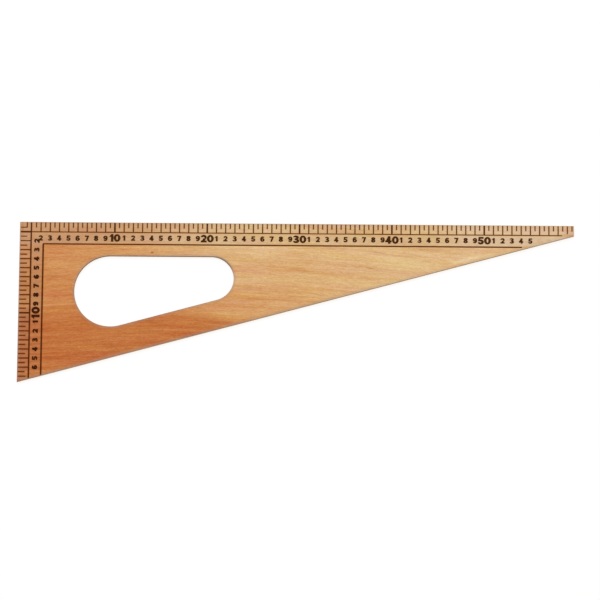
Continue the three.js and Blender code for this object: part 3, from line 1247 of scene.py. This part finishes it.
def six(pen):
    belly = bowl(pen, (0.40, 0.33), (0.40, 0.33))
    return digit_from("six", belly, bowl(pen, (0.425, 0.5), (0.425, 0.5), 42, 225))


def seven(pen):
    upright, level = pen
    slope = leaning_bar((0.29, 0), (0.60, 0.9), upright)
    return digit_from("seven", bar(0, 1 - level, 0.76, 1), slope)


def eight(pen):
    upper = bowl(pen, (0.40, 0.735), (0.38, 0.265))
    return digit_from("eight", upper, bowl(pen, (0.40, 0.295), (0.40, 0.295)))


def nine(pen):
    digit = six(pen)
    only(digit)
    bpy.ops.transform.rotate(value=math.pi, orient_axis="Z", center_override=MIDDLE_OF_SIX)
    bake_place(digit)
    return digit


# %% Digits on demand
DRAWINGS = [zero, one, two, three, four, five, six, seven, eight, nine]
drawn = {}


def digit_for(sign, pen):
    """The model of one digit, drawn when it is first needed."""
    if (sign, pen) not in drawn:
        drawn[sign, pen] = DRAWINGS[int(sign)](pen)
    return drawn[sign, pen]


def width_of(digit):
    """How far right a digit reaches."""
    return max(corner.co.x for corner in digit.data.vertices)


# %% [markdown]
# ## Setting the numerals
#
# Each scale counts its centimetres: small digits for 1 to 9, and the tens written out large. The
# long scale reads along its edge, and its first few numbers stand a little lower than the rest. The
# short scale's numerals are turned to face the short edge, its small digits are fatter than the long
# scale's, and its ten is thinner. A number is set like type: its digits stand side by side and the
# whole is centred on its mark.

# %% Setting a number
PRINT_SINK = 0.01
PRINT_TOP = 0.045


def set_number(text, pen, height, gap, centre, turn, top=PRINT_TOP):
    """Copies the digits of a number to their place. centre is along and depth."""
    digits = [digit_for(sign, pen) for sign in text]
    start = -(sum(width_of(digit) for digit in digits) + gap * (len(text) - 1)) / 2
    set_digits = []
    base = face_height - PRINT_SINK * MM
    upward = (PRINT_SINK + top) / DIGIT_THICKNESS
    sizes = Matrix.Diagonal((height * MM, height * MM, upward * MM, 1))
    place = Matrix.Translation(on_board(*centre, base)) @ Matrix.Rotation(turn, 4, "Z") @ sizes
    for digit in digits:
        set_digits.append(copy_to(digit, place @ Matrix.Translation((start, -0.5, 0))))
        start += width_of(digit) + gap
    return set_digits


# %% The long scale's numerals
FIRST_NUMBER = 2
LONG_LAST_NUMBER = 55
# A look is a pen, a height in millimetres, and a gap between digits as a share of the height.
LONG_SMALL = ((0.33, 0.25), 6.0, 0.02)
LONG_LARGE = ((0.33, 0.25), 8.5, 0.02)
SMALL_SHIFT = -0.18
LARGE_SHIFT = 0.15
LAST_LOW_NUMBER = 9
LOW_ROW = 17.9


def printed(number, small, large):
    """What is printed for a number, and its look: a ten in full, or else the last digit, small."""
    return (str(number), *large) if number % 10 == 0 else (str(number % 10), *small)


row_of_numerals = []
for number in range(FIRST_NUMBER, LONG_LAST_NUMBER + 1):
    shift = LARGE_SHIFT if number % 10 == 0 else SMALL_SHIFT
    row = LONG_ROW if number > LAST_LOW_NUMBER else LOW_ROW
    centre = (LONG_ZERO + number * CENTIMETRE + shift, row)
    look = printed(number, LONG_SMALL, LONG_LARGE)
    row_of_numerals += set_number(*look, centre, turn=0)
join("long_numerals", row_of_numerals, long_numeral_paint)

# %% The short scale's numerals
SHORT_LAST_NUMBER = 16
SHORT_SMALL = ((0.38, 0.29), 6.0, 0)
SHORT_LARGE = ((0.33, 0.28), 9.0, 0.10)

# The first numerals of the two scales overlap at the corner, so this row's print is a hair thinner.
short_print = PRINT_TOP - CROSSING_STEP
row_of_numerals = []
for number in range(FIRST_NUMBER, SHORT_LAST_NUMBER + 1):
    look = printed(number, SHORT_SMALL, SHORT_LARGE)
    centre = (SHORT_ROW, SHORT_ZERO + number * CENTIMETRE)
    row_of_numerals += set_number(*look, centre, turn=math.pi / 2, top=short_print)
join("short_numerals", row_of_numerals, short_numeral_paint)
for digit in drawn.values():
    bpy.data.objects.remove(digit)
